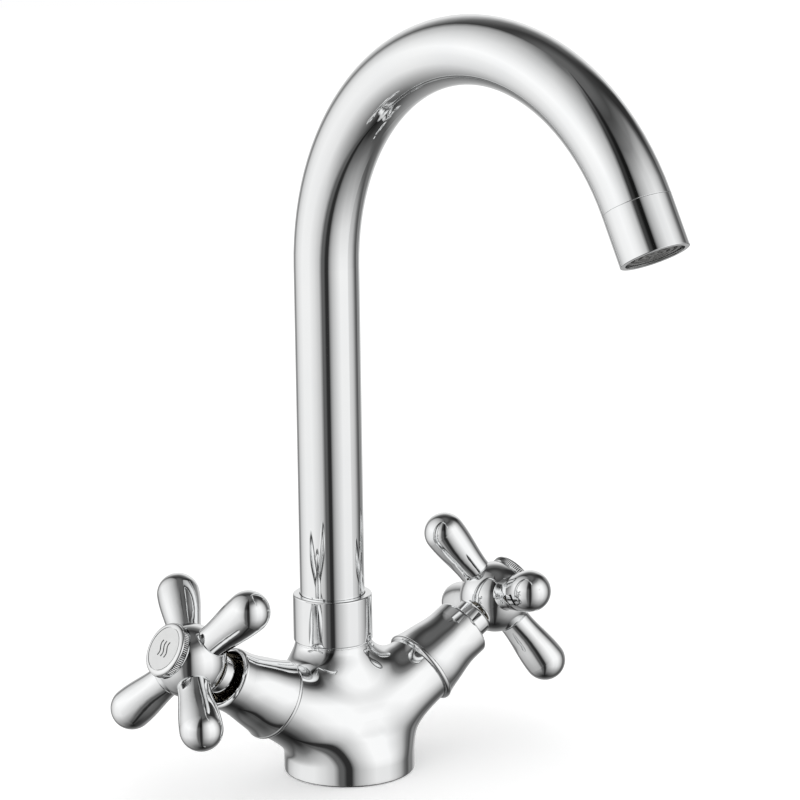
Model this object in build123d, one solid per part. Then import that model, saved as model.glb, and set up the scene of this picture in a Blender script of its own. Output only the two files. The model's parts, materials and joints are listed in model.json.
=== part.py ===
from build123d import *
import os
from math import cos, pi, radians, sin, sqrt

# Two handle kitchen faucet, in millimetres. +Z is up, -Y is the front, where the spout points.
# The origin is the centre of the foot's underside, on the deck. Hot is on -X, cold on +X.

# ---- Spout tube
tube_diameter = 24.0
tube_wall = 1.2
bend_radius = 84.5
bend_angle = 152.2
bend_height = 188.6
spout_swing = 5.4  # the spout rests turned this many degrees towards the cold side

# ---- Body casting
foot_radius = 24.2
foot_wall_height = 6.0
foot_edge_round = 1.2
belly_height = 16.0  # the body is an oval at three heights between the foot and the neck
belly_half_width = 24.6
belly_front = 21.0  # how far the front stands before the foot's centre
web_height = 28.0
web_half_width = 24.5
web_front = 14.05
shoulder_height = 38.0
shoulder_half_width = 19.0
shoulder_front = 8.1
body_back = 24.0  # how far the back stands behind the foot's centre, from the foot to the neck
neck_radius = 14.0
neck_height = 47.6
stem_setback = 9.35  # the stem stands this far behind the foot's centre
arm_elevation = 31.1
arm_crossing_height = 12.7  # the valve axes cross this high over the deck
arm_radius = 13.6
arm_root = 4.0  # an arm starts this far out from that crossing
arm_reach = 40.0  # from that crossing to the end face of an arm
arm_blend = 8.0
spigot_wall = 3.4
spigot_length = 9.4
spigot_root = 1.0

# ---- Water ways, ports and underside
underside_recess_radius = 17.5
underside_recess_depth = 5.0
inlet_bore_radius = 4.5
inlet_bore_depth = 12.0
inlet_spacing = 19.0
stud_bore_radius = 3.4
stud_bore_depth = 16.0
stud_setback = 10.0
valve_bore_radius = 10.0
seat_depth = 21.0  # from an arm's end face to the valve seat
seat_passage_radius = 3.5
seat_passage_length = 10.0
mixing_passage_radius = 2.8
mixing_passage_start = (18.5, 2.0, 34.0)  # in the cold valve's chamber, and mirrored in the hot one's
mixing_passage_end = (5.0, 7.85, 36.0)  # in the neck's bore
gasket_width = 2.8
gasket_thickness = 2.0
gasket_inner_radius = 18.9

# ---- Collar and swivel
collar_radius = 14.7
collar_length = 17.8
collar_edge_round = 0.7
collar_tube_gap = 0.25
plug_radius = 9.4
plug_length = 23.0
plug_bore_radius = 6.0
plug_nose_depth = 0.8
plug_nose_length = 1.5
plug_seal_section = 1.9
plug_seal_heights = (6.4, 13.8)  # from the plug's lower end
ferrule_flange_thickness = 1.2
ferrule_grip = 8.0
swivel_groove_width = 2.2
swivel_groove_depth = 0.8
swivel_ring_split = 2.5

# ---- Aerator
nozzle_length = 18.0
nozzle_seam_round = 0.18  # on the tube's end and on the shell's top, which makes the fine seam line
nipple_grip = 3.6
nipple_gap = 0.1
nipple_thread_length = 7.0
nipple_wall = 2.0
shell_wall = 1.4
shell_lip_width = 0.35
shell_lip_length = 3.0
shell_mouth_round = 0.25
washer_thickness = 1.6
washer_width = 2.4
screen_thickness = 0.5
screen_hole_radius = 0.55
screen_hole_rows = ((1, 6), (2, 12))  # the row, in thirds of the screen's radius, and its holes
insert_gap = 0.8  # dark ring between the insert and the shell's mouth
insert_setback = 0.9
insert_floor = 1.6
insert_wall = 0.9
slot_rings = 3
slots_in_a_ring = 6
slot_share = 0.56  # of the pitch of the rings
slot_spoke = 0.8

# ---- Shrouds
shroud_radius = 11.6
shroud_length = 25.2
shroud_overlap = 2.4  # how far the lip reaches down over the arm
shroud_mouth_wall = 1.6
shroud_mouth_round = 1.3
shroud_waist = 17.6  # the flare ends this far above the arm's end face
shroud_lower_wall = 1.1  # beside the arm's end
flare_mid_height = 7.4  # a point of the flare, from the arm's end face
flare_mid_offset = 1.55  # and how far outside the waist it is
lip_bead_radius = 1.2
flare_lean = 0.35  # how much the flare leans in where it leaves the bead, over its rise
lip_bead_turn = 40.0  # the bead's arc ends this many degrees above its middle
lip_overhang = 1.6

# ---- Valves
valve_thread_length = 9.0
valve_flange_across = 21.0
valve_flange_thickness = 3.5
valve_neck_radius = 8.4
valve_neck_length = 6.5
valve_gland_radius = 6.6
valve_top = 17.0  # from the arm's end face to the top of the valve housing
valve_sleeve_wall = 0.9
valve_sleeve_gap = 1.0  # from the valve seat to the sleeve
valve_window_width = 7.0
disc_radius = 8.0
disc_thickness = 3.0
disc_opening_outer = 6.0
disc_opening_inner = 2.0
fixed_disc_turn = 45.0  # the quarter openings' angle, in degrees
moving_disc_turn = 135.0  # shut at rest: a quarter turn from the fixed disc's
seal_thickness = 2.5
seal_lip = 0.5
spindle_radius = 4.0
spindle_foot_thickness = 2.0
spindle_tongue = 2.8
spindle_tongue_depth = 1.3
spindle_seal_section = 1.1
spindle_seal_setback = 4.0  # from the housing's top
seal_groove_share = 0.65  # half a seal groove's width, over the seal's section
clip_thickness = 1.0
clip_radius = 5.4
clip_opening = 4.4
clip_groove_depth = 0.8
spline_teeth = 20
spline_depth = 0.4
spline_length = 9.0

# ---- Cross handles
hub_reach = 40.0  # from the arm's end face to the centre of the ball
hub_radius = 13.45
hub_neck_radius = 7.3
hub_neck_reach = 20.5  # from the ball's centre down to the neck's end
hub_web = 5.0
hub_root_round = 1.0
spindle_drop = 7.0  # from the ball's centre down to the spindle's top
grip_root_radius = 6.1
grip_tip_radius = 7.8
grip_reach = 39.3
grip_swell = 0.62  # how much thicker an arm is at a point near its root
grip_swell_reach = 8.0  # and how far that point is from the root
grip_stub_radius = 3.0
grip_stub_length = 4.5
grip_stub_clearance = 0.5
grip_root_round = 0.5
grips = 4
hot_handle_turn = 49.3  # the first arm's angle about the handle's axis, from straight up
cold_handle_turn = 69.1

# ---- Index caps and screws
cap_radius = 10.2
cap_front = 12.5  # from the ball's centre to the ring's front
cap_thickness = 3.1
cap_ridges = 64
cap_ridge_depth = 0.22
cap_neck_radius = 9.2
cap_neck_overlap = 1.2  # how far the hub's neck reaches into the ring
cap_web = 0.9
index_radius = 8.0
index_thickness = 0.95
screw_radius = 2.2
screw_length = 14.0
screw_head_radius = 4.4
screw_head_thickness = 3.2
screw_socket_across = 3.0
screw_socket_depth = 1.92

# ---- Fits
running_gap = 0.1
seat_gap = 0.05
thread_gap = 0.05
screw_hole_gap = 0.4
screw_head_gap = 0.6
clip_gap = 0.5
over_cut = 1.0  # how far a cutting tool runs past the face that it cuts

# ---- Worked out from the above
tube_radius = tube_diameter / 2
tube_bore_radius = tube_radius - tube_wall
spigot_top = neck_height + spigot_length
spigot_radius = plug_radius + running_gap + spigot_wall
flange_bottom = spigot_top + running_gap
flange_top = flange_bottom + ferrule_flange_thickness
tube_bottom = flange_top + swivel_groove_width
collar_top = neck_height + collar_length
groove_radius = tube_radius - swivel_groove_depth
hub_centre = arm_reach + hub_reach
seat_level = arm_reach - seat_depth
housing_top = arm_reach + valve_top
nipple_thread_radius = tube_radius - shell_wall - thread_gap
insert_top = nipple_thread_length + washer_thickness
lip_level = nozzle_length - shell_lip_length
mouth_radius = tube_radius - shell_wall - shell_lip_width
insert_face_radius = mouth_radius - insert_gap
insert_face = nozzle_length - insert_setback
disc_low = seat_level + seal_thickness
moving_low = disc_low + disc_thickness + running_gap
moving_high = moving_low + disc_thickness
foot_top = moving_high + spindle_foot_thickness
spindle_top = hub_centre - spindle_drop
spindle_seal_level = housing_top - spindle_seal_setback
ring_back = hub_centre + cap_front - cap_thickness
ring_floor = ring_back + cap_neck_overlap
web_low = spindle_top
web_high = web_low + hub_web
screw_low = web_high - screw_length
grip_seat = sqrt(hub_radius**2 - (grip_root_radius + seat_gap) ** 2)

stem = Location((0, stem_setback, 0), (0, 0, spout_swing - 90))


def ring(outer, inner, low, high):
    """A ring about Z, from low to high."""
    return Pos(0, 0, low) * extrude(Circle(outer) - Circle(inner), high - low)


def rod(radius, low, high):
    """A round rod about Z, from low to high."""
    return Pos(0, 0, low) * extrude(Circle(radius), high - low)


def turned(*points):
    """A solid turned about Z from (radius, height) corners."""
    outline = Polyline(*[(r, 0, z) for r, z in points], close=True)
    return revolve(make_face(outline), Axis.Z)


def valve_frame(side):
    """The frame of one valve axis: Z runs out along the arm and X points up. side is -1 hot, 1 cold."""
    rise = radians(arm_elevation)
    outward = (side * cos(rise), 0, sin(rise))
    upward = (-side * sin(rise), 0, cos(rise))
    return Plane(origin=(0, 0, arm_crossing_height), x_dir=upward, z_dir=outward).location


def drilled(start, end, radius):
    """A drilling between two points."""
    way = Vector(*end) - Vector(*start)
    return Plane(origin=start, z_dir=way).location * rod(radius, 0, way.length)


# ------------------------------------------------------------------ Body


def oval(height, half_width, front, back):
    """A level oval of the body, from front to back of the foot's centre. Its seam is at the back."""
    half_depth = (front + back) / 2
    return Location((0, (back - front) / 2, height), (0, 0, 90)) * Ellipse(half_depth, half_width)


def body_core():
    """The foot, which swells into a broad flat front and narrows and leans back into the neck."""
    foot = rod(foot_radius, 0, foot_wall_height)
    upper = loft([
        oval(foot_wall_height, foot_radius, foot_radius, foot_radius),
        oval(belly_height, belly_half_width, belly_front, body_back),
        oval(web_height, web_half_width, web_front, body_back),
        oval(shoulder_height, shoulder_half_width, shoulder_front, body_back),
        oval(neck_height, neck_radius, neck_radius - stem_setback, neck_radius + stem_setback),
    ])
    return foot + upper


def body_casting():
    """The core with its two arms blended in, the spigot, the valve chambers and the water ways."""
    joined = body_core()
    for side in (-1, 1):
        joined += valve_frame(side) * rod(arm_radius, arm_root, arm_reach)
    creases = []
    for edge in joined.edges().filter_by(GeomType.BSPLINE):
        box = edge.bounding_box()
        if box.max.Z > foot_wall_height + running_gap and box.max.Z < neck_height - running_gap:
            creases.append(edge)
    shape = fillet(creases, arm_blend)
    rim = shape.edges().filter_by_position(Axis.Z, -seat_gap, seat_gap)
    shape = fillet(rim, foot_edge_round)
    neck = Pos(0, stem_setback, 0)
    shape += neck * rod(spigot_radius, neck_height - spigot_root, spigot_top)
    shape -= neck * rod(plug_radius + running_gap, spigot_top - plug_length - over_cut, spigot_top)
    shape -= rod(underside_recess_radius, 0, underside_recess_depth)
    shape -= ring(gasket_inner_radius + gasket_width + seat_gap, gasket_inner_radius - seat_gap,
                  0, gasket_thickness)
    shape -= Pos(0, stud_setback, 0) * rod(stud_bore_radius, 0, underside_recess_depth + stud_bore_depth)
    port_top = underside_recess_depth + inlet_bore_depth
    for side in (-1, 1):
        shape -= valve_frame(side) * rod(valve_bore_radius, seat_level, arm_reach)
        shape -= valve_frame(side) * rod(seat_passage_radius, seat_level - seat_passage_length, seat_level)
        shape -= Pos(side * inlet_spacing / 2, 0, 0) * rod(inlet_bore_radius, 0, port_top)
        start, end = [(side * x, y, z) for x, y, z in (mixing_passage_start, mixing_passage_end)]
        shape -= drilled(start, end, mixing_passage_radius)
    return shape


def base_gasket():
    return ring(gasket_inner_radius + gasket_width, gasket_inner_radius, 0, gasket_thickness)


# ------------------------------------------------------------------ Collar and swivel


def collar_nut():
    """The collar: threaded over the spigot below, a shoulder over the split ring, a close bore above."""
    shoulder = tube_bottom
    bore = spigot_radius + thread_gap
    outer = rod(collar_radius, neck_height, collar_top)
    outer = fillet(outer.edges().filter_by(GeomType.CIRCLE), collar_edge_round)
    outer -= rod(bore, neck_height, shoulder)
    outer -= rod(tube_radius + collar_tube_gap, shoulder, collar_top)
    return stem * outer


def swivel_ring():
    """A split plastic ring that keeps the ferrule's groove under the collar's shoulder."""
    low = flange_top + running_gap
    high = tube_bottom - running_gap
    inner = groove_radius + running_gap
    body = ring(spigot_radius - running_gap, inner, low, high)
    body -= Pos(inner, 0, low) * Box(2 * inner, swivel_ring_split, 4 * inner)
    return stem * body


def spout_ferrule():
    """The brass end of the spout: a plug with two seal grooves, a flange, a groove and the tube's spigot."""
    low = spigot_top - plug_length
    grip = tube_bore_radius - seat_gap
    body = turned(
        (plug_bore_radius, low), (plug_radius - plug_nose_depth, low), (plug_radius, low + plug_nose_length),
        (plug_radius, flange_bottom), (tube_radius, flange_bottom), (tube_radius, flange_top),
        (groove_radius, flange_top), (groove_radius, tube_bottom), (grip, tube_bottom),
        (grip, tube_bottom + ferrule_grip), (plug_bore_radius, tube_bottom + ferrule_grip),
    )
    half = plug_seal_section * seal_groove_share
    for height in plug_seal_heights:
        middle = low + height
        body -= ring(plug_radius + over_cut, plug_radius - plug_seal_section, middle - half, middle + half)
    return stem * body


def spout_seals():
    low = spigot_top - plug_length
    middle = plug_radius - plug_seal_section / 2
    section = Plane.XZ * Pos(middle, 0) * Circle(plug_seal_section / 2 - seat_gap)
    rings = [stem * Pos(0, 0, low + height) * revolve(section, Axis.Z) for height in plug_seal_heights]
    return Compound(rings)


# ------------------------------------------------------------------ Spout


def spout_tube():
    """The straight stem and the round bend, with the bore open at both ends and a rounded far end."""
    section = Circle(tube_radius) - Circle(tube_bore_radius)
    straight = Pos(0, 0, tube_bottom) * extrude(section, bend_height - tube_bottom)
    bend_axis = Axis((bend_radius, 0, bend_height), (0, 1, 0))
    bend = revolve(Pos(0, 0, bend_height) * section, bend_axis, bend_angle)
    tube = stem * (straight + bend)
    mouth = nozzle_frame().position
    far_end = [
        edge
        for edge in tube.edges().filter_by(GeomType.CIRCLE)
        if (edge.arc_center - mouth).length < running_gap and edge.radius > tube_radius - running_gap
    ]
    return fillet(far_end, nozzle_seam_round)


def nozzle_frame():
    """The frame of the spout's mouth: Z runs out of the tube's end."""
    turn = radians(bend_angle)
    end = (bend_radius * (1 - cos(turn)), 0, bend_height + bend_radius * sin(turn))
    along = (sin(turn), 0, cos(turn))
    return stem * Plane(origin=end, x_dir=(0, 1, 0), z_dir=along).location


def nozzle_nipple():
    """The threaded end in the tube's mouth, which the shell screws onto."""
    grip = tube_bore_radius - nipple_gap
    bore = nipple_thread_radius - nipple_wall
    return nozzle_frame() * turned(
        (bore, -nipple_grip), (grip, -nipple_grip), (grip, 0), (nipple_thread_radius, 0),
        (nipple_thread_radius, nipple_thread_length), (bore, nipple_thread_length),
    )


def aerator_shell():
    """The sleeve at the mouth: a bore for the thread, and a lip that carries the insert."""
    body = rod(tube_radius, 0, nozzle_length)
    body = fillet(body.edges().filter_by_position(Axis.Z, -seat_gap, seat_gap), nozzle_seam_round)
    body -= rod(tube_radius - shell_wall, 0, lip_level)
    body -= rod(mouth_radius, lip_level, nozzle_length)
    rims = body.edges().filter_by_position(Axis.Z, nozzle_length - seat_gap, nozzle_length + seat_gap)
    body = fillet(rims.sort_by(SortBy.RADIUS)[-1], shell_mouth_round)
    return nozzle_frame() * body


def aerator_washer():
    outer = tube_radius - shell_wall - seat_gap
    return nozzle_frame() * ring(outer, outer - washer_width, nipple_thread_length, insert_top)


def aerator_insert():
    """The plastic insert: a flange on the lip, a skirt in the mouth and ring shaped slots in its floor."""
    flange = tube_radius - shell_wall - seat_gap
    cup = insert_face_radius - insert_wall
    floor_level = insert_face - insert_floor
    body = turned(
        (0, floor_level), (cup, floor_level), (cup, insert_top),
        (flange, insert_top), (flange, lip_level), (insert_face_radius, lip_level),
        (insert_face_radius, insert_face), (0, insert_face),
    )
    pitch = cup / (slot_rings + 0.5)
    half_slot = pitch * slot_share / 2
    for row in range(1, slot_rings + 1):
        slot = ring(row * pitch + half_slot, row * pitch - half_slot, floor_level, insert_face)
        for spoke in range(slots_in_a_ring):
            bar = Box(4 * cup, slot_spoke, 4 * insert_floor, align=(Align.MIN, Align.CENTER, Align.CENTER))
            slot -= Location((0, 0, insert_face), (0, 0, spoke * 360 / slots_in_a_ring)) * bar
        body -= slot
    return nozzle_frame() * body


def aerator_screen():
    """A perforated disc that lies on the insert's flange, inside the washer."""
    outer = tube_radius - shell_wall - seat_gap - washer_width - running_gap
    plate = rod(outer, insert_top - screen_thickness, insert_top)
    for row, count in screen_hole_rows:
        for hole in range(count):
            turn = Rot(0, 0, hole * 360 / count)
            spot = turn * Pos(row * outer / 3, 0, 0)
            plate -= spot * rod(screen_hole_radius, insert_top - 2 * screen_thickness, insert_top)
    return nozzle_frame() * plate


# ------------------------------------------------------------------ Shroud and valve (one side)


def shroud():
    """The flared cover: a rolled lip over the arm's end, a concave flare, and an open round mouth."""
    low = arm_reach - shroud_overlap
    top = arm_reach - shroud_overlap + shroud_length
    lip = arm_radius + lip_overhang - lip_bead_radius
    bead_level = low + lip_bead_radius
    waist = arm_reach + shroud_waist
    mouth = shroud_radius - shroud_mouth_wall
    socket = arm_radius + running_gap
    room = arm_radius - shroud_lower_wall
    ledge = arm_reach + valve_flange_thickness + over_cut
    turn = radians(lip_bead_turn)
    bead_end = (lip + lip_bead_radius * cos(turn), 0, bead_level + lip_bead_radius * sin(turn))
    flare_mid = (shroud_radius + flare_mid_offset, 0, arm_reach + flare_mid_height)
    flare = Spline(bead_end, flare_mid, (shroud_radius, 0, waist), tangents=((-flare_lean, 0, 1), (0, 0, 1)))
    bead = ThreePointArc((lip, 0, low), (lip + lip_bead_radius, 0, bead_level), bead_end)
    crown = shroud_mouth_round
    rim_far = (shroud_radius - crown, 0, top)
    rim_mid = (shroud_radius - crown + crown * cos(pi / 4), 0, top - crown + crown * sin(pi / 4))
    outline = Curve() + [
        Line((socket, 0, low), (lip, 0, low)),
        bead,
        flare,
        Line((shroud_radius, 0, waist), (shroud_radius, 0, top - crown)),
        ThreePointArc((shroud_radius, 0, top - crown), rim_mid, rim_far),
        Line(rim_far, (mouth, 0, top)),
        Line((mouth, 0, top), (mouth, 0, waist)),
        Line((mouth, 0, waist), (room, 0, ledge)),
        Line((room, 0, ledge), (room, 0, arm_reach)),
        Line((room, 0, arm_reach), (socket, 0, arm_reach)),
        Line((socket, 0, arm_reach), (socket, 0, low)),
    ]
    return revolve(make_face(outline), Axis.Z)


def valve_housing():
    """The brass valve body: a windowed sleeve round the discs, a thread, a hex flange, a neck and a gland."""
    sleeve = disc_radius + running_gap
    sleeve_outer = sleeve + valve_sleeve_wall
    sleeve_low = seat_level + valve_sleeve_gap
    thread_radius = valve_bore_radius - thread_gap
    thread_low = arm_reach - valve_thread_length
    chamber_top = foot_top + 2 * running_gap
    neck_top = arm_reach + valve_flange_thickness + valve_neck_length
    body = turned(
        (sleeve, sleeve_low), (sleeve_outer, sleeve_low), (sleeve_outer, thread_low),
        (thread_radius, thread_low), (thread_radius, arm_reach), (valve_neck_radius, arm_reach),
        (valve_neck_radius, neck_top), (valve_gland_radius, neck_top), (valve_gland_radius, housing_top),
        (spindle_radius + running_gap, housing_top), (spindle_radius + running_gap, chamber_top),
        (sleeve, chamber_top),
    )
    flange = extrude(RegularPolygon(valve_flange_across / 2, 6, major_radius=False), valve_flange_thickness)
    body += Pos(0, 0, arm_reach) * flange - rod(valve_neck_radius - over_cut, arm_reach, neck_top)
    for turn in (0, 180):
        window = Box(4 * sleeve, valve_window_width, disc_thickness,
                     align=(Align.MIN, Align.CENTER, Align.MIN))
        body -= Location((0, 0, moving_low), (0, 0, turn)) * window
    return body


def disc_openings(low, high, turn):
    """Two opposite quarter openings of a ceramic disc."""
    slot = ring(disc_opening_outer, disc_opening_inner, low, high)
    side = 4 * disc_radius
    keep = Box(side, side, side, align=(Align.MIN, Align.MIN, Align.CENTER))
    pair = [Location((0, 0, low), (0, 0, turn + half)) * keep for half in (0, 180)]
    return [slot & quarter for quarter in pair]


def fixed_disc():
    body = rod(disc_radius, disc_low, disc_low + disc_thickness)
    for opening in disc_openings(disc_low, disc_low + disc_thickness, fixed_disc_turn):
        body -= opening
    return body


def moving_disc():
    body = rod(disc_radius - running_gap, moving_low, moving_high)
    for opening in disc_openings(moving_low, moving_high, moving_disc_turn):
        body -= opening
    slot = spindle_tongue + 2 * seat_gap
    body -= Pos(0, 0, moving_high) * Box(4 * disc_radius, slot, 2 * spindle_tongue_depth + 2 * seat_gap)
    return body


def seat_seal():
    return ring(disc_radius, seat_passage_radius + seal_lip, seat_level, disc_low)


def serrated(radius, depth, teeth):
    """The outline of a round serration."""
    points = []
    for step in range(2 * teeth):
        angle = pi * step / teeth
        reach = radius if step % 2 == 0 else radius - depth
        points.append((reach * cos(angle), reach * sin(angle)))
    return make_face(Polyline(*points, close=True))


def spindle(head_turn):
    """The spindle: a foot with a tongue in the upper disc, two grooves, and a serrated head."""
    head_low = spindle_top - spline_length
    foot = disc_radius - 4 * running_gap
    body = rod(foot, moving_high, foot_top) + rod(spindle_radius, foot_top, head_low)
    tongue = Box(2 * foot, spindle_tongue, spindle_tongue_depth,
                 align=(Align.CENTER, Align.CENTER, Align.MAX))
    body += Pos(0, 0, moving_high) * tongue & rod(foot, seat_level, moving_high)
    head = extrude(serrated(spindle_radius, spline_depth, spline_teeth), spline_length)
    body += Location((0, 0, head_low), (0, 0, head_turn)) * head
    body -= rod(screw_radius + thread_gap, screw_low - over_cut, spindle_top)
    half = spindle_seal_section * seal_groove_share
    body -= ring(spindle_radius + over_cut, spindle_radius - spindle_seal_section,
                 spindle_seal_level - half, spindle_seal_level + half)
    low = housing_top + running_gap
    body -= ring(spindle_radius + over_cut, spindle_radius - clip_groove_depth, low, low + clip_thickness)
    return body


def spindle_seal():
    section = spindle_seal_section / 2
    return Pos(0, 0, spindle_seal_level) * Torus(spindle_radius - section, section)


def spindle_clip():
    """An open clip in the spindle's groove, just above the housing."""
    low = housing_top + running_gap
    body = ring(clip_radius, spindle_radius - clip_groove_depth, low, low + clip_thickness)
    gap = Box(2 * clip_radius, clip_opening, 2 * clip_thickness,
              align=(Align.MIN, Align.CENTER, Align.CENTER))
    return body - Pos(0, 0, low + clip_thickness / 2) * gap


# ------------------------------------------------------------------ Cross handle (one side)


def hub():
    """The ball hub: a neck into the shroud, a serrated hole, spot faces for the arms and the cap's neck."""
    neck_low = hub_centre - hub_neck_reach
    head_low = spindle_top - spline_length
    ball_front = hub_centre + sqrt(hub_radius**2 - cap_radius**2)
    ball = Pos(0, 0, hub_centre) * Sphere(hub_radius)
    ball -= Pos(0, 0, ball_front) * Box(4 * hub_radius, 4 * hub_radius, 2 * hub_radius,
                                        align=(Align.CENTER, Align.CENTER, Align.MIN))
    body = ball + rod(hub_neck_radius, neck_low, hub_centre)
    root = [
        edge
        for edge in body.edges().filter_by(GeomType.CIRCLE)
        if neck_low + over_cut < edge.center().Z < hub_centre
    ]
    body = fillet(root, hub_root_round)
    body += rod(cap_neck_radius, hub_centre, ring_floor)
    body -= rod(clip_radius + clip_gap, neck_low, head_low)
    grown = serrated(spindle_radius + seat_gap, spline_depth, spline_teeth)
    body -= Pos(0, 0, head_low) * extrude(grown, spline_length)
    body -= rod(screw_radius + screw_hole_gap, web_low, web_high)
    body -= rod(screw_head_radius + screw_head_gap, web_high, ring_floor)
    stub_low = grip_seat - grip_stub_length - grip_stub_clearance
    for place in grip_places():
        body -= place * rod(grip_root_radius + seat_gap, grip_seat, hub_radius + over_cut)
        body -= place * rod(grip_stub_radius + thread_gap, stub_low, grip_seat)
    return body


def grip_places():
    """The frames of the arms about the handle's axis: Z runs out along an arm."""
    spots = []
    for step in range(grips):
        turn = radians(step * 360 / grips)
        out = (cos(turn), sin(turn), 0)
        spots.append(Plane(origin=(0, 0, hub_centre), x_dir=(0, 0, 1), z_dir=out).location)
    return spots


def handle_arms():
    """The turned arms: a crisp root on the ball, a slow taper and a round knob, each with a threaded stub."""
    knob = grip_reach - grip_tip_radius
    root = grip_seat
    swell_point = (grip_root_radius + grip_swell, 0, root + grip_swell_reach)
    swell = Spline((grip_root_radius, 0, root + grip_root_round), swell_point, (grip_tip_radius, 0, knob),
                   tangents=((0, 0, 1), (0, 0, 1)))
    outline = Curve() + [
        Line((0, 0, root - grip_stub_length), (grip_stub_radius, 0, root - grip_stub_length)),
        Line((grip_stub_radius, 0, root - grip_stub_length), (grip_stub_radius, 0, root)),
        Line((grip_stub_radius, 0, root), (grip_root_radius - grip_root_round, 0, root)),
        Line((grip_root_radius - grip_root_round, 0, root), (grip_root_radius, 0, root + grip_root_round)),
        swell,
        ThreePointArc((grip_tip_radius, 0, knob),
                      (grip_tip_radius * cos(pi / 4), 0, knob + grip_tip_radius * sin(pi / 4)),
                      (0, 0, grip_reach)),
        Line((0, 0, grip_reach), (0, 0, root - grip_stub_length)),
    ]
    arm = revolve(make_face(outline), Axis.Z)
    return Compound(children=[place * arm for place in grip_places()])


def handle_screw():
    """The socket head screw that clamps the hub's web on the spindle."""
    head_top = web_high + screw_head_thickness
    body = rod(screw_radius, screw_low, web_high) + rod(screw_head_radius, web_high, head_top)
    socket = extrude(RegularPolygon(screw_socket_across / 2, 6, major_radius=False), screw_socket_depth)
    return body - Pos(0, 0, head_top - screw_socket_depth) * socket


def index_ring():
    """The knurled ring: a pocket over the hub's neck behind and a shallow recess for the disc in front."""
    front = hub_centre + cap_front
    body = Pos(0, 0, ring_back) * extrude(serrated(cap_radius, cap_ridge_depth, cap_ridges), cap_thickness)
    body -= rod(cap_neck_radius + seat_gap, ring_back, ring_floor)
    body -= rod(index_radius + seat_gap, ring_floor + cap_web, front)
    return body


def index_disc():
    low = ring_floor + cap_web
    return rod(index_radius, low, low + index_thickness)


# ------------------------------------------------------------------ Write every piece


def side_pieces(name, side, handle_turn):
    """The pieces of one side: the fixed ones, and those that turn with the handle."""
    fixed = valve_frame(side)
    turned_frame = fixed * Rot(0, 0, handle_turn)
    return {
        name + "_shroud": fixed * shroud(),
        name + "_valve_housing": fixed * valve_housing(),
        name + "_fixed_disc": fixed * fixed_disc(),
        name + "_seat_seal": fixed * seat_seal(),
        name + "_moving_disc": fixed * moving_disc(),
        name + "_spindle": fixed * spindle(handle_turn),
        name + "_spindle_seal": fixed * spindle_seal(),
        name + "_spindle_clip": fixed * spindle_clip(),
        name + "_handle_hub": turned_frame * hub(),
        name + "_handle_arms": turned_frame * handle_arms(),
        name + "_handle_screw": turned_frame * handle_screw(),
        name + "_index_ring": turned_frame * index_ring(),
        name + "_index_disc": turned_frame * index_disc(),
    }


pieces = {
    "body_casting": body_casting(),
    "base_gasket": base_gasket(),
    "collar_nut": collar_nut(),
    "swivel_ring": swivel_ring(),
    "spout_ferrule": spout_ferrule(),
    "spout_seals": spout_seals(),
    "spout_tube": spout_tube(),
    "nozzle_nipple": nozzle_nipple(),
    "aerator_shell": aerator_shell(),
    "aerator_washer": aerator_washer(),
    "aerator_insert": aerator_insert(),
    "aerator_screen": aerator_screen(),
}
pieces.update(side_pieces("hot", -1, hot_handle_turn))
pieces.update(side_pieces("cold", 1, cold_handle_turn))

os.makedirs("parts", exist_ok=True)
for name, piece in pieces.items():
    export_step(piece, "parts/" + name + ".step")
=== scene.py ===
import json
from math import cos, pi, radians, sin

import bpy
import numpy as np
from mathutils import Matrix, Vector


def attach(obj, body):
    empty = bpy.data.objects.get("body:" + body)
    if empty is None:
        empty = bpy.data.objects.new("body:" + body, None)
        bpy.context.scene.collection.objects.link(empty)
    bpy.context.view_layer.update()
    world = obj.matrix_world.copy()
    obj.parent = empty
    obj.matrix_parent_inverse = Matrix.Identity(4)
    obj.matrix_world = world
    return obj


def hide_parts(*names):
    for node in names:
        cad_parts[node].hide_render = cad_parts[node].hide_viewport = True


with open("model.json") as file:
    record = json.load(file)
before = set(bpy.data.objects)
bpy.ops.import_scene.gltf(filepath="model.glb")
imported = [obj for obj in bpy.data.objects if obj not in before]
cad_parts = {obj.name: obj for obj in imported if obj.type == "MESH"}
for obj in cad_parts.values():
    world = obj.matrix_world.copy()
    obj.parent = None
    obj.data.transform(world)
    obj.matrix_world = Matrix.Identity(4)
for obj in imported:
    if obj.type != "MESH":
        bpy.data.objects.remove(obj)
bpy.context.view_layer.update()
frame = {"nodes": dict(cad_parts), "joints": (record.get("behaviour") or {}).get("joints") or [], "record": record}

MM = 0.001

# ---- The photograph's view
CAMERA_PLACE = (-0.66498, -0.97315, 0.39683)
CAMERA_HEADING = 35.35  # degrees, from +Y towards +X
CAMERA_DIP = 12.304  # degrees below the horizon
CAMERA_ROLL = 0.766  # degrees
LENS = 149.07  # mm
SENSOR = 36  # mm across

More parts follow.
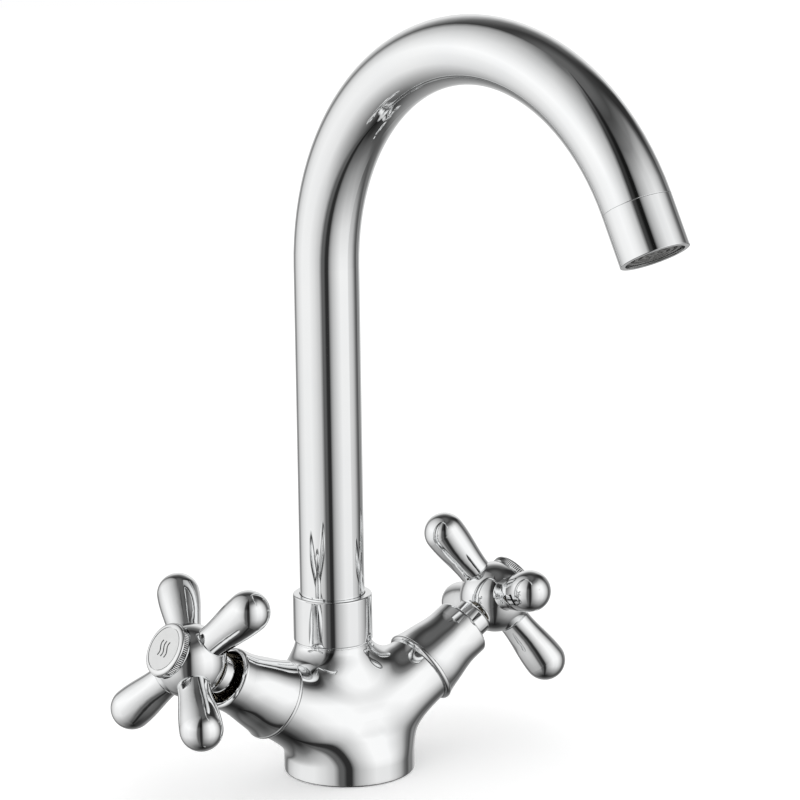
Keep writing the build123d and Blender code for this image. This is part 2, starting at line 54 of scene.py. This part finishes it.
# ---- The studio, by direction: azimuth from the front (-Y) towards the cold side (+X), and elevation.
# A gradient is a row of stops, each an angle in degrees and a share of the light. A soft box has one across, by
# azimuth, and one up, by elevation, and its level is its light where both are full.
STUDIO_RADIUS = 2.2
STUDIO_COLUMNS = 360
STUDIO_ROWS = 180
ROOM = (  # the dim room's light, by elevation
    (-90, 0.01), (-74, 0.05), (-55, 0.09), (20, 0.09), (34, 0.03), (50, 0.03), (65, 0.05), (78, 0.12), (90, 0.12),
)
FLAG = (  # how much of the room's light is left, by azimuth: a dark strip and its lighter edge
    (-180, 1), (-52, 1.3), (-45, 1.3), (-39, 0.3), (-31, 0.3), (-22, 1), (180, 1),
)
LEFT_BOX = {
    "across": (
        (-180, 0.1), (-168, 0.6), (-150, 0.85), (-130, 1), (-100, 1), (-78, 0.8), (-62, 0.56), (-52, 0),
    ),
    "up": (
        (-82, 0), (-65, 0.12), (-45, 0.42), (-25, 0.77), (0, 0.9),
        (15, 1), (30, 0.88), (45, 0.73), (65, 0.45), (84, 0),
    ),
    "level": 1.06,
}
RIGHT_BOX = {
    "across": (
        (-30, 0), (-24, 0.28), (-15, 0.54), (0, 0.8), (14, 1),
        (40, 1), (55, 0.76), (68, 0.5), (80, 0.1), (88, 0),
    ),
    "up": (
        (-80, 0), (-65, 0.1), (-45, 0.38), (-25, 0.75), (-8, 0.9), (8, 1),
        (30, 1), (38, 0.86), (47, 0.6), (56, 0.2), (68, 0),
    ),
    "level": 1.02,
}
BACK_BOX = {
    "across": ((106, 0), (120, 0.85), (135, 1), (155, 0.95), (170, 0.5), (180, 0.1)),
    "up": ((-72, 0), (-25, 0.42), (0, 0.95), (24, 1), (45, 0.18), (60, 0)),
    "level": 0.84,
}
SIDE_GLOW = {
    "across": ((90, 0), (98, 1), (104, 1), (112, 0)),
    "up": ((-40, 0), (-8, 1), (14, 1), (30, 0)),
    "level": 0.2,
}
SOFT_BOXES = (LEFT_BOX, RIGHT_BOX, BACK_BOX, SIDE_GLOW)
LAMP_LEVEL = 0.85  # the world's light on matt surfaces
FLOOR_RADIUS = 3.0
FLOOR_CORNERS = 96
FLOOR_TONE = 0.75  # what the object's underside sees
FLOOR_WHITE = 1.35  # what the camera sees, over 1 so that the shadow stays faint

# ---- The middle part of a value from 0 to 1, which materials spread over a whole range. Noise seldom leaves it.
MIDDLE_LOW = 0.3
MIDDLE_HIGH = 0.7

# ---- Index caps, in mm, along the handle's axis from the ring's back
RING_TEETH = 84
RING_TOOTH_DEPTH = 0.36
RING_BAND = (0.35, 1.9)  # the knurled band's ends
RING_COLUMNS_PER_TOOTH = 6
DISC_EDGE_GAP = 0.3  # the groove between disc and ring
RING_SLOPE_START = 0.4  # how far the flat land reaches out round the disc
RING_SLOPE_STEPS = 6
RING_POCKET = 9.25  # radius of the pocket over the hub's neck
RING_POCKET_DEPTH = 1.2
RING_BACK_BEVEL = 0.3
SHARP_ANGLE = 35  # degrees between faces that meet in an edge

# ---- Index marks, in mm, and their strokes as shares of the mark's reach
MARK_LINE = 0.52  # width of a stroke
MARK_HEIGHT = 0.03  # thickness of a stroke
MARK_REACH = 3.4
WAVE_PLACES = (-0.62, 0, 0.62)
WAVE_SWING = 0.16
WAVE_HALF = 0.85  # half a wave's height
WAVE_STEPS = 24
STAR_ARMS = 6
STAR_ARM_ENDS = (0.06, 0.95)
STAR_FORK = 0.55  # where an arm's side strokes start
STAR_FORK_REACH = 0.32

# ---- The casting's skin, in mm. Its core is a stack of level ovals: height, half width, front and back.
CASTING_OVALS = (
    (-6, 24.25, -24.25, 24.25),
    (6.6, 24.25, -24.25, 24.25),
    (16, 26.6, -21.22, 24.9),
    (28, 26.7, -10.05, 24.3),
    (38, 20.2, -8.2, 24.4),
    (47.6, 14.15, -4.8, 23.5),
    (60, 14.15, -4.8, 23.5),
)
# How wide the fillet between arms and core is, by height
CASTING_BLENDS = ((-6, 4.5), (12, 4.5), (26, 10.2), (38, 13), (44, 16), (47.6, 14), (60, 14))
CORE_SLOPE = 0.9  # evens the core's distance with the arms'
CORE_DEPTH = -10  # the distance given to all points near the core's middle
CORE_MIDDLE = 0.3  # how far that middle reaches, as a share of the oval
ARM_ELEVATION = 31.1  # degrees
ARM_CROSSING = 12.7  # height at which the arms' axes meet
ARM_RADIUS = 13.64
ARM_SWELL = 3.6  # how much the arm's radius grows towards its root
ARM_SWELL_START = 40  # where along the arm it starts to grow, from the end inwards
ARM_SWELL_RUN = 34
ARM_END = 38.3
ARMS_BLEND = 9  # the least fillet between the two arms
FOOT_ROUND = 1.2  # the round of the foot's lower edge
SKIN_WALL = 2.4
SKIN_FOOT = 0.02  # height of the skin's lower edge
SKIN_NECK = 47.58  # height of its upper edge, under the collar
SKIN_STEP = 0.8  # mesh size
SKIN_CORNERS = ((-45, -27, -2), (45, 27, 50))  # the space that is searched for the surface
SKIN_PROJECTIONS = 4
SLOPE_STEP = 0.01  # how far to each side a slope is measured
LEAST_SLOPE = 0.1  # the least squared slope, so that no point is thrown far
ON_SURFACE = 0.01  # how near the surface a vertex of the outside lies
TINY = 1e-9


# ------------------------------------------------------------------ Materials


class Shader:
    """One material's node tree, with short ways to add and join nodes."""

    def __init__(self, name):
        self.material = bpy.data.materials.new(name)
        self.material.use_nodes = True
        self.tree = self.material.node_tree
        self.tree.nodes.clear()

    def add(self, kind, inputs=(), **settings):
        """A node of this kind, with its settings and the values of its inputs."""
        node = self.tree.nodes.new(kind)
        for name, value in settings.items():
            setattr(node, name, value)
        for name, value in dict(inputs).items():
            node.inputs[name].default_value = value
        return node

    def link(self, out_socket, in_socket):
        self.tree.links.new(out_socket, in_socket)

    def noise(self, size, detail=3, stretch=(1, 1, 1)):
        """Noise whose features are about this many millimetres, stretched along the object's axes."""
        place = self.add("ShaderNodeTexCoord")
        squeeze = self.add("ShaderNodeMapping", {"Scale": stretch})
        noise = self.add("ShaderNodeTexNoise", {"Scale": 1 / (size * MM), "Detail": detail})
        self.link(place.outputs["Object"], squeeze.inputs["Vector"])
        self.link(squeeze.outputs["Vector"], noise.inputs["Vector"])
        return noise.outputs["Fac"]

    def spread(self, value, low, high):
        """The value's middle part spread over a range."""
        ends = {"From Min": MIDDLE_LOW, "From Max": MIDDLE_HIGH, "To Min": low, "To Max": high}
        spread = self.add("ShaderNodeMapRange", ends)
        self.link(value, spread.inputs["Value"])
        return spread.outputs["Result"]

    def mix(self, value, first, second):
        """A colour between two, by the value's middle part."""
        ramp = self.add("ShaderNodeValToRGB")
        ends = ((MIDDLE_LOW, first), (MIDDLE_HIGH, second))
        for element, (position, colour) in zip(ramp.color_ramp.elements, ends):
            element.position = position
            element.color = (*colour, 1)
        self.link(value, ramp.inputs["Fac"])
        return ramp.outputs["Color"]

    def bump(self, value, depth):
        """A relief of so many millimetres."""
        bump = self.add("ShaderNodeBump", {"Strength": 1, "Distance": depth * MM})
        self.link(value, bump.inputs["Height"])
        return bump.outputs["Normal"]

    def finish(self, constants, **linked):
        """The surface: constants on the shader's sockets, and the linked colour, roughness and normal."""
        surface = self.add("ShaderNodeBsdfPrincipled", constants)
        names = {"colour": "Base Color", "roughness": "Roughness", "normal": "Normal"}
        for name, socket in linked.items():
            self.link(socket, surface.inputs[names[name]])
        out = self.add("ShaderNodeOutputMaterial")
        self.link(surface.outputs["BSDF"], out.inputs["Surface"])
        return self.material


def chrome_plate():
    """Polished plate: a mirror with a faint cloudiness in its colour and gloss."""
    shader = Shader("chrome_plate")
    clouds = shader.noise(20, detail=5)
    colour = shader.mix(clouds, (0.94, 0.945, 0.945), (0.91, 0.92, 0.925))
    return shader.finish({"Metallic": 1}, colour=colour, roughness=shader.spread(clouds, 0.02, 0.06))


def knurl_with_painted_shade():
    """The cap ring's plate, with painted shade: near black and dull down in the knurl's grooves."""
    shader = Shader("knurl_with_painted_shade")
    groove = shader.add("ShaderNodeAttribute", attribute_name="groove").outputs["Fac"]
    # painted shade: the plate's colour runs to near black down in the grooves, where shade falls
    colour = shader.mix(groove, (0.93, 0.935, 0.935), (0.05, 0.05, 0.052))
    return shader.finish({"Metallic": 1}, colour=colour, roughness=shader.spread(groove, 0.04, 0.4))


def satin_face():
    """The index disc: fine satin silver with an even grain."""
    shader = Shader("satin_face")
    grain = shader.noise(0.12, detail=2)
    colour = shader.mix(shader.noise(4), (0.89, 0.895, 0.89), (0.85, 0.855, 0.85))
    return shader.finish({"Metallic": 1}, colour=colour, roughness=shader.spread(grain, 0.3, 0.42),
                         normal=shader.bump(grain, 0.004))


def turned_brass():
    """Brass as it comes off the lathe, with fine turning lines and a little tarnish."""
    shader = Shader("turned_brass")
    lines = shader.noise(0.5, detail=2, stretch=(1, 1, 6))
    colour = shader.mix(shader.noise(3), (0.52, 0.45, 0.33), (0.36, 0.31, 0.23))
    return shader.finish({"Metallic": 1}, colour=colour, roughness=shader.spread(lines, 0.26, 0.42),
                         normal=shader.bump(lines, 0.006))


def bright_steel():
    """Stainless steel with brushed lines."""
    shader = Shader("bright_steel")
    lines = shader.noise(0.4, detail=3, stretch=(1, 8, 1))
    colour = shader.mix(lines, (0.66, 0.66, 0.65), (0.58, 0.58, 0.58))
    return shader.finish({"Metallic": 1}, colour=colour, roughness=shader.spread(lines, 0.2, 0.38),
                         normal=shader.bump(lines, 0.003))


def black_rubber():
    """Matte rubber with a fine grain and a dusty bloom."""
    shader = Shader("black_rubber")
    grain = shader.noise(0.25)
    colour = shader.mix(shader.noise(5), (0.018, 0.018, 0.018), (0.04, 0.04, 0.042))
    return shader.finish({"Specular IOR Level": 0.35}, colour=colour, roughness=shader.spread(grain, 0.55, 0.8),
                         normal=shader.bump(grain, 0.01))


def polished_ceramic():
    """Lapped alumina: off white, dense, with faint specks."""
    shader = Shader("polished_ceramic")
    specks = shader.noise(0.4)
    colour = shader.mix(specks, (0.86, 0.85, 0.80), (0.80, 0.79, 0.75))
    return shader.finish({"IOR": 1.76}, colour=colour, roughness=shader.spread(specks, 0.08, 0.2))


def grey_plastic():
    """Moulded grey plastic with a fine spark eroded grain."""
    shader = Shader("grey_plastic")
    grain = shader.noise(0.2)
    colour = shader.mix(shader.noise(3), (0.19, 0.19, 0.185), (0.24, 0.24, 0.235))
    return shader.finish({"IOR": 1.5}, colour=colour, roughness=shader.spread(grain, 0.4, 0.6),
                         normal=shader.bump(grain, 0.006))


def dark_ink():
    """The dark paint of the index marks."""
    shader = Shader("dark_ink")
    grain = shader.noise(0.15)
    colour = shader.mix(grain, (0.02, 0.02, 0.022), (0.045, 0.045, 0.047))
    return shader.finish({"Specular IOR Level": 0.4}, colour=colour, roughness=shader.spread(grain, 0.4, 0.6))


# ------------------------------------------------------------------ Mesh helpers


def new_object(name, verts, faces, material, is_smooth=False):
    """A mesh object in the scene, with one material."""
    mesh = bpy.data.meshes.new(name)
    mesh.from_pydata(verts, [], faces)
    mesh.materials.append(material)
    if is_smooth:
        mesh.shade_smooth()
    else:
        mesh.shade_flat()
    piece = bpy.data.objects.new(name, mesh)
    bpy.context.scene.collection.objects.link(piece)
    return piece


def give_values(piece, name, values):
    """Stores one number for each vertex, which a material reads by this name."""
    piece.data.attributes.new(name, "FLOAT", "POINT").data.foreach_set("value", values)


class Axis:
    """A handle's axis: its start at the joint, and the two directions across it, the first one level."""

    def __init__(self, joint):
        self.start = Vector(joint["pos_m"])
        self.along = Vector(joint["axis"]).normalized()
        self.level = Vector((0, 0, 1)).cross(self.along).normalized()
        self.up = self.along.cross(self.level)

    def height(self, node):
        """How far along the axis a node starts and ends."""
        heights = [(vert.co - self.start).dot(self.along) for vert in node.data.vertices]
        return min(heights), max(heights)

    def reach(self, node):
        """The node's outer radius about the axis."""
        return max((vert.co - self.start).cross(self.along).length for vert in node.data.vertices)

    def point(self, x, y, height):
        """The place this far across the axis, level and up, and this far along it."""
        return self.start + self.level * x + self.up * y + self.along * height


# ------------------------------------------------------------------ Index caps


def ring_profile(disc_radius, ring_radius, thickness, recess):
    """The ring's section as (radius, height, is_knurled) in metres, from the web's back round to its front."""
    low, high = (end * MM for end in RING_BAND)
    bevel = RING_BACK_BEVEL * MM
    pocket = RING_POCKET * MM
    land = disc_radius + RING_SLOPE_START * MM
    shoulder = ring_radius - RING_TOOTH_DEPTH * MM / 2
    points = [(pocket, RING_POCKET_DEPTH * MM, False), (pocket, 0, False)]
    points += [(ring_radius - bevel, 0, False), (shoulder, low / 2, False)]
    points += [(ring_radius, low, True), (ring_radius, high, True)]
    slope_start = high + low / 2
    for step in range(RING_SLOPE_STEPS + 1):
        turn = pi / 2 * step / RING_SLOPE_STEPS
        radius = land + (shoulder - land) * cos(turn)
        points.append((radius, slope_start + (thickness - slope_start) * sin(turn), False))
    points += [(disc_radius, thickness, False), (disc_radius, recess, False)]
    return points


def index_ring(name, axis, node, disc, material):
    """A cap ring with a fine straight knurl and a rounded front, in place of the CAD ring."""
    back, front = axis.height(node)
    recess = axis.height(disc)[0] - back
    profile = ring_profile(axis.reach(disc) + DISC_EDGE_GAP * MM, axis.reach(node), front - back, recess)
    columns = RING_TEETH * RING_COLUMNS_PER_TOOTH
    verts, grooves = [], []
    for column in range(columns):
        turn = 2 * pi * column / columns
        tooth = 0.5 - 0.5 * cos(RING_TEETH * turn)
        for radius, height, is_knurled in profile:
            groove = tooth if is_knurled else 0
            grooves.append(groove)
            reach = radius - groove * RING_TOOTH_DEPTH * MM
            verts.append(axis.point(reach * cos(turn), reach * sin(turn), back + height))
    count = len(profile)
    web_back, web_front = len(verts), len(verts) + 1
    verts += [axis.point(0, 0, back + RING_POCKET_DEPTH * MM), axis.point(0, 0, back + recess)]
    grooves += [0, 0]
    faces = []
    for column in range(columns):
        here, after = column * count, (column + 1) % columns * count
        for step in range(count - 1):
            faces.append((here + step, after + step, after + step + 1, here + step + 1))
        faces.append((web_back, after, here))
        faces.append((here + count - 1, after + count - 1, web_front))
    ring = new_object(name, verts, faces, material, is_smooth=True)
    ring.data.set_sharp_from_angle(angle=radians(SHARP_ANGLE))
    # the groove share also serves as the mask for the ring's painted shade
    give_values(ring, "groove", grooves)
    return ring


def ribbon(axis, points, height, verts, faces):
    """Adds a closed flat strip along points, given across the axis in metres."""
    half = MARK_LINE * MM / 2
    first = len(verts)
    for step, (x, y) in enumerate(points):
        before, after = points[max(step - 1, 0)], points[min(step + 1, len(points) - 1)]
        run = Vector((after[0] - before[0], after[1] - before[1])).normalized()
        side = Vector((-run.y, run.x)) * half
        for level in (height, height + MARK_HEIGHT * MM):
            verts.append(axis.point(x + side.x, y + side.y, level))
            verts.append(axis.point(x - side.x, y - side.y, level))
    for step in range(len(points) - 1):
        near, far = first + 4 * step, first + 4 * (step + 1)
        faces.append((near, near + 1, far + 1, far))
        faces.append((near + 2, far + 2, far + 3, near + 3))
        faces.append((near, far, far + 2, near + 2))
        faces.append((near + 1, near + 3, far + 3, far + 1))
    faces.append((first, first + 2, first + 3, first + 1))
    last = first + 4 * (len(points) - 1)
    faces.append((last, last + 1, last + 3, last + 2))


def wave_lines():
    """Three upright wavy strokes: a plain sign for heat."""
    lines = []
    reach = MARK_REACH * MM
    for place in WAVE_PLACES:
        line = []
        for step in range(WAVE_STEPS + 1):
            share = step / WAVE_STEPS
            line.append((reach * (place + WAVE_SWING * sin(2 * pi * share)), reach * (2 * share - 1) * WAVE_HALF))
        lines.append(line)
    return lines


def star_lines():
    """Three crossing strokes with small side strokes: a plain sign for cold."""
    lines = []
    reach = MARK_REACH * MM
    for arm in range(STAR_ARMS):
        turn = pi / 2 + 2 * pi * arm / STAR_ARMS
        out = Vector((cos(turn), sin(turn)))
        lines.append([(out * end * reach)[:] for end in STAR_ARM_ENDS])
        fork = out * STAR_FORK * reach
        for side in (-1, 1):
            lean = turn + side * pi / 4
            lines.append([fork[:], (fork + Vector((cos(lean), sin(lean))) * STAR_FORK_REACH * reach)[:]])
    return lines


def index_mark(name, axis, lines, height, material):
    """Thin strokes that lie on the index disc."""
    verts, faces = [], []
    for line in lines:
        ribbon(axis, line, height, verts, faces)
    return new_object(name, verts, faces, material)


# ------------------------------------------------------------------ The casting's skin


def steady_curve(points, column, at):
    """A smooth curve by height through one column of points, which never overshoots them."""
    places = np.array([point[0] for point in points], float)
    values = np.array([point[column] for point in points], float)
    gaps = np.diff(places)
    rises = np.diff(values) / gaps
    slopes = np.zeros(len(values))
    for k in range(1, len(values) - 1):
        before, after = rises[k - 1], rises[k]
        if before * after > 0:
            far, near = 2 * gaps[k] + gaps[k - 1], gaps[k] + 2 * gaps[k - 1]
            slopes[k] = (far + near) / (far / before + near / after)
    which = np.clip(np.searchsorted(places, at) - 1, 0, len(gaps) - 1)
    share = np.clip((at - places[which]) / gaps[which], 0, 1)
    ease = share * share * (3 - 2 * share)
    lift = share * (1 - share) * gaps[which] * ((1 - share) * slopes[which] - share * slopes[which + 1])
    return values[which] * (1 - ease) + values[which + 1] * ease + lift


def blended(first, second, reach):
    """The distance to the union of two forms, with a fillet of about this reach."""
    share = np.maximum(reach - np.abs(first - second), 0) / reach
    return np.minimum(first, second) - share**3 * reach / 6


def casting_core(x, y, z):
    """The distance to the stack of level ovals from foot to neck."""
    half_width, front, back = (steady_curve(CASTING_OVALS, column, z) for column in (1, 2, 3))
    half_depth = (back - front) / 2
    u, v = x / half_width, (y - (front + back) / 2) / half_depth
    share = np.sqrt(u**2 + v**2)
    slope = np.sqrt((u / half_width) ** 2 + (v / half_depth) ** 2)
    distance = CORE_SLOPE * share * (share - 1) / np.maximum(slope, TINY)
    return np.where(share < CORE_MIDDLE, CORE_DEPTH, distance)


def casting_arm(x, y, z, side):
    """The distance to one arm, which swells towards its root, and the distance along it."""
    tilt = radians(ARM_ELEVATION)
    along = side * x * cos(tilt) + (z - ARM_CROSSING) * sin(tilt)
    across = (z - ARM_CROSSING) * cos(tilt) - side * x * sin(tilt)
    share = np.clip((ARM_SWELL_START - along) / ARM_SWELL_RUN, 0, 1)
    reach = np.sqrt(across**2 + y**2 + np.minimum(along, 0) ** 2)
    return reach - ARM_RADIUS - ARM_SWELL * share**3 * (4 - 3 * share), along


def casting_surface(x, y, z):
    """The distance to the smooth outside of core and arms, as if it went on past neck and arms."""
    hot, cold = casting_arm(x, y, z, -1)[0], casting_arm(x, y, z, 1)[0]
    reach = steady_curve(CASTING_BLENDS, 1, z)
    whole = blended(casting_core(x, y, z), blended(hot, cold, np.maximum(reach, ARMS_BLEND)), reach)
    return -blended(-whole, z - SKIN_FOOT, FOOT_ROUND)


def casting_shell(x, y, z):
    """The distance to a wall under that surface, open at the foot, the neck and the arms' ends."""
    surface = casting_surface(x, y, z)
    ends = np.maximum(casting_arm(x, y, z, -1)[1], casting_arm(x, y, z, 1)[1]) - ARM_END
    wall = np.maximum(surface, -surface - SKIN_WALL)
    return np.maximum(wall, np.maximum(ends, z - SKIN_NECK))


def slope_of(form, points):
    """How the distance grows along x, y and z at each point."""
    columns = []
    for axis in range(3):
        shift = np.zeros(3)
        shift[axis] = SLOPE_STEP
        columns.append((form(*(points + shift).T) - form(*(points - shift).T)) / (2 * SLOPE_STEP))
    return np.stack(columns, 1)


def settled(form, points):
    """The points moved onto the surface where the distance is zero."""
    for _ in range(SKIN_PROJECTIONS):
        slope = slope_of(form, points)
        move = form(*points.T) / np.maximum((slope**2).sum(1), LEAST_SLOPE)
        points = points - move[:, None] * slope
    return points


def net(form, low, high, step):
    """A closed quad mesh round a form: one vertex in each grid cell that its surface crosses."""
    lines = [np.arange(low[axis], high[axis], step) for axis in range(3)]
    grid = np.stack(np.meshgrid(*lines, indexing="ij"), -1)
    distance = form(grid[..., 0], grid[..., 1], grid[..., 2])
    size = [len(line) for line in lines]
    cells = [count - 1 for count in size]
    total, crossings = np.zeros((*cells, 3)), np.zeros(cells)
    corners = [(i, j, k) for i in (0, 1) for j in (0, 1) for k in (0, 1)]

    def corner(place):
        """One corner of every cell, as a part of the grid."""
        return tuple(slice(place[axis], cells[axis] + place[axis]) for axis in range(3))

    # Each edge of a cell that the surface crosses adds its crossing to the cell's mean.
    for first in corners:
        for axis in range(3):
            if first[axis]:
                continue
            second = tuple(1 if k == axis else first[k] for k in range(3))
            here, there = distance[corner(first)], distance[corner(second)]
            crosses = (here < 0) != (there < 0)
            share = np.where(crosses, here / np.where(crosses, here - there, 1), 0)[..., None]
            spot = grid[corner(first)] * (1 - share) + grid[corner(second)] * share
            total += np.where(crosses[..., None], spot, 0)
            crossings += crosses
    used = crossings > 0
    index = np.full(cells, -1)
    index[used] = np.arange(used.sum())
    verts = total[used] / crossings[used][:, None]

    # Each grid edge that the surface crosses gives a quad between the four cells round it.
    quads = []
    for axis in range(3):
        u, v = (axis + 1) % 3, (axis + 2) % 3
        near = np.take(distance, np.arange(cells[axis]), axis) < 0
        far = np.take(distance, np.arange(1, size[axis]), axis) < 0
        edges = np.argwhere(near != far)
        outward = near[tuple(edges.T)]
        quad = []
        for back_u, back_v in ((1, 1), (0, 1), (0, 0), (1, 0)):
            cell = edges.copy()
            cell[:, u] -= back_u
            cell[:, v] -= back_v
            quad.append(index[tuple(cell.T)])
        quad = np.stack(quad, 1)
        quad[~outward] = quad[~outward][:, ::-1]
        quads.append(quad)
    return verts, np.concatenate(quads)


def casting_skin(material):
    """The casting's smooth outside, a thin wall fitted over the CAD casting.

    Its shading follows the form's own slope on the outside, and the faces elsewhere.
    """
    verts, faces = net(casting_shell, *SKIN_CORNERS, SKIN_STEP)
    verts = settled(casting_shell, verts)
    skin = new_object("casting_skin", (verts * MM).tolist(), faces.tolist(), material, is_smooth=True)
    slopes = slope_of(casting_surface, verts)
    slopes /= np.linalg.norm(slopes, axis=1, keepdims=True)
    outside = (np.abs(casting_surface(*verts.T)) < ON_SURFACE)[faces].all(1)
    first, second, third = (verts[faces[:, k]] for k in range(3))
    flat = np.cross(second - first, third - first)
    flat /= np.maximum(np.linalg.norm(flat, axis=1, keepdims=True), TINY)
    normals = np.where(outside[:, None, None], slopes[faces], flat[:, None, :])
    skin.data.normals_split_custom_set(normals.reshape(-1, 3).tolist())
    return skin


# ------------------------------------------------------------------ Studio


def gradient(stops, angle):
    """The value of a row of (angle, value) stops, straight from stop to stop and zero outside them."""
    if not stops[0][0] <= angle <= stops[-1][0]:
        return 0
    for (start, low), (end, high) in zip(stops, stops[1:]):
        if angle <= end:
            return low + (high - low) * (angle - start) / (end - start)


def studio_level(azimuth, elevation):
    """How bright the studio is in a direction: a dim room with soft boxes."""
    room = gradient(ROOM, elevation) * gradient(FLAG, azimuth)
    level = room
    for box in SOFT_BOXES:
        level += (1 - room) * box["level"] * gradient(box["across"], azimuth) * gradient(box["up"], elevation)
    return level


def make_shell():
    """The studio's shell round the object, which only reflections see."""
    verts, levels, faces = [], [], []
    for row in range(STUDIO_ROWS + 1):
        elevation = 180 * row / STUDIO_ROWS - 90
        ring, height = STUDIO_RADIUS * cos(radians(elevation)), STUDIO_RADIUS * sin(radians(elevation))
        for column in range(STUDIO_COLUMNS):
            azimuth = 360 * column / STUDIO_COLUMNS - 180
            verts.append((ring * sin(radians(azimuth)), -ring * cos(radians(azimuth)), height))
            levels.append(studio_level(azimuth, elevation))
    for row in range(STUDIO_ROWS):
        for column in range(STUDIO_COLUMNS):
            here = row * STUDIO_COLUMNS + column
            after = row * STUDIO_COLUMNS + (column + 1) % STUDIO_COLUMNS
            faces.append((here, after, after + STUDIO_COLUMNS, here + STUDIO_COLUMNS))
    shader = Shader("studio_shell")
    level = shader.add("ShaderNodeAttribute", attribute_name="level")
    glow = shader.add("ShaderNodeEmission")
    out = shader.add("ShaderNodeOutputMaterial")
    shader.link(level.outputs["Fac"], glow.inputs["Color"])
    shader.link(glow.outputs["Emission"], out.inputs["Surface"])
    shader.material.cycles.emission_sampling = "NONE"
    shell = new_object("studio_shell", verts, faces, shader.material, is_smooth=True)
    give_values(shell, "level", levels)
    shell.visible_camera = False
    shell.visible_diffuse = False
    shell.visible_shadow = False


def seen_directly(shader):
    """One for camera, glossy and transmission rays, else zero."""
    ray = shader.add("ShaderNodeLightPath")
    seen = ray.outputs["Is Camera Ray"]
    for name in ("Is Glossy Ray", "Is Transmission Ray"):
        either = shader.add("ShaderNodeMath", operation="MAXIMUM")
        shader.link(seen, either.inputs[0])
        shader.link(ray.outputs[name], either.inputs[1])
        seen = either.outputs["Value"]
    return seen


def tone_for_rays(shader, unseen, seen):
    """One value for the rays that light the object and another for those that show the background."""
    tone = shader.add("ShaderNodeMapRange", {"To Min": unseen, "To Max": seen})
    shader.link(seen_directly(shader), tone.inputs["Value"])
    return tone.outputs["Result"]


class WorldShader(Shader):
    """The same short ways for the world's node tree."""

    def __init__(self, world):
        world.use_nodes = True
        self.tree = world.node_tree
        self.tree.nodes.clear()


def make_world():
    """An even pale surrounding: white to the camera, and a plain light for matt surfaces."""
    world = bpy.data.worlds.new("studio_world")
    bpy.context.scene.world = world
    shader = WorldShader(world)
    sky = shader.add("ShaderNodeBackground", {"Color": (1, 1, 1, 1)})
    out = shader.add("ShaderNodeOutputWorld")
    shader.link(tone_for_rays(shader, LAMP_LEVEL, 1), sky.inputs["Strength"])
    shader.link(sky.outputs["Background"], out.inputs["Surface"])


def make_floor():
    """A pale deck. It is white to the camera, apart from the object's shadow."""
    turns = [2 * pi * corner / FLOOR_CORNERS for corner in range(FLOOR_CORNERS)]
    verts = [(FLOOR_RADIUS * cos(turn), FLOOR_RADIUS * sin(turn), 0) for turn in turns]
    shader = Shader("floor")
    chalk = shader.add("ShaderNodeBsdfDiffuse")
    out = shader.add("ShaderNodeOutputMaterial")
    shader.link(tone_for_rays(shader, FLOOR_TONE, FLOOR_WHITE), chalk.inputs["Color"])
    shader.link(chalk.outputs["BSDF"], out.inputs["Surface"])
    floor = new_object("floor", verts, [tuple(range(FLOOR_CORNERS))], shader.material)
    floor.visible_glossy = False


def make_camera():
    """The photograph's camera, from its place, heading, dip and roll."""
    data = bpy.data.cameras.new("camera")
    data.sensor_width = SENSOR
    data.lens = LENS
    camera = bpy.data.objects.new("camera", data)
    heading, dip, roll = radians(CAMERA_HEADING), radians(CAMERA_DIP), radians(CAMERA_ROLL)
    forward = Vector((sin(heading) * cos(dip), cos(heading) * cos(dip), -sin(dip)))
    level = forward.cross(Vector((0, 0, 1))).normalized()
    up = level.cross(forward)
    right = level * cos(roll) - up * sin(roll)
    top = level * sin(roll) + up * cos(roll)
    turn = Matrix((right, top, -forward)).transposed()
    camera.matrix_world = Matrix.Translation(CAMERA_PLACE) @ turn.to_4x4()
    bpy.context.scene.collection.objects.link(camera)
    bpy.context.scene.camera = camera


# ------------------------------------------------------------------ The object


def dress_cad(finishes):
    """Gives each CAD node the finish of its slot in the record."""
    slots = {part["node"]: part["material_slot"] for part in frame["record"]["subparts"]}
    for name, node in frame["nodes"].items():
        node.data.materials.clear()
        node.data.materials.append(finishes[slots[name]])


def cap_handle(side, lines, plate, ink):
    """The knurled ring and the index mark of one handle."""
    joint = next(joint for joint in frame["joints"] if joint["name"] == side + "_valve")
    axis = Axis(joint)
    body = side + "_handle"
    ring_node, disc_node = frame["nodes"][side + "_index_ring"], frame["nodes"][side + "_index_disc"]
    ring = index_ring(side + "_knurled_ring", axis, ring_node, disc_node, plate)
    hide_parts(side + "_index_ring")
    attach(ring, body)
    mark = index_mark(side + "_index_mark", axis, lines, axis.height(disc_node)[1], ink)
    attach(mark, body)


FINISHES = {
    "chrome": chrome_plate(),
    "index_face": satin_face(),
    "brass": turned_brass(),
    "steel": bright_steel(),
    "rubber": black_rubber(),
    "ceramic": polished_ceramic(),
    "grey_plastic": grey_plastic(),
}
KNURL = knurl_with_painted_shade()
INK = dark_ink()

make_camera()
make_shell()
make_world()
make_floor()
dress_cad(FINISHES)
skin = casting_skin(FINISHES["chrome"])
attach(skin, "root")
cap_handle("hot", wave_lines(), KNURL, INK)
cap_handle("cold", star_lines(), KNURL, INK)
bpy.context.scene.view_settings.view_transform = "Standard"
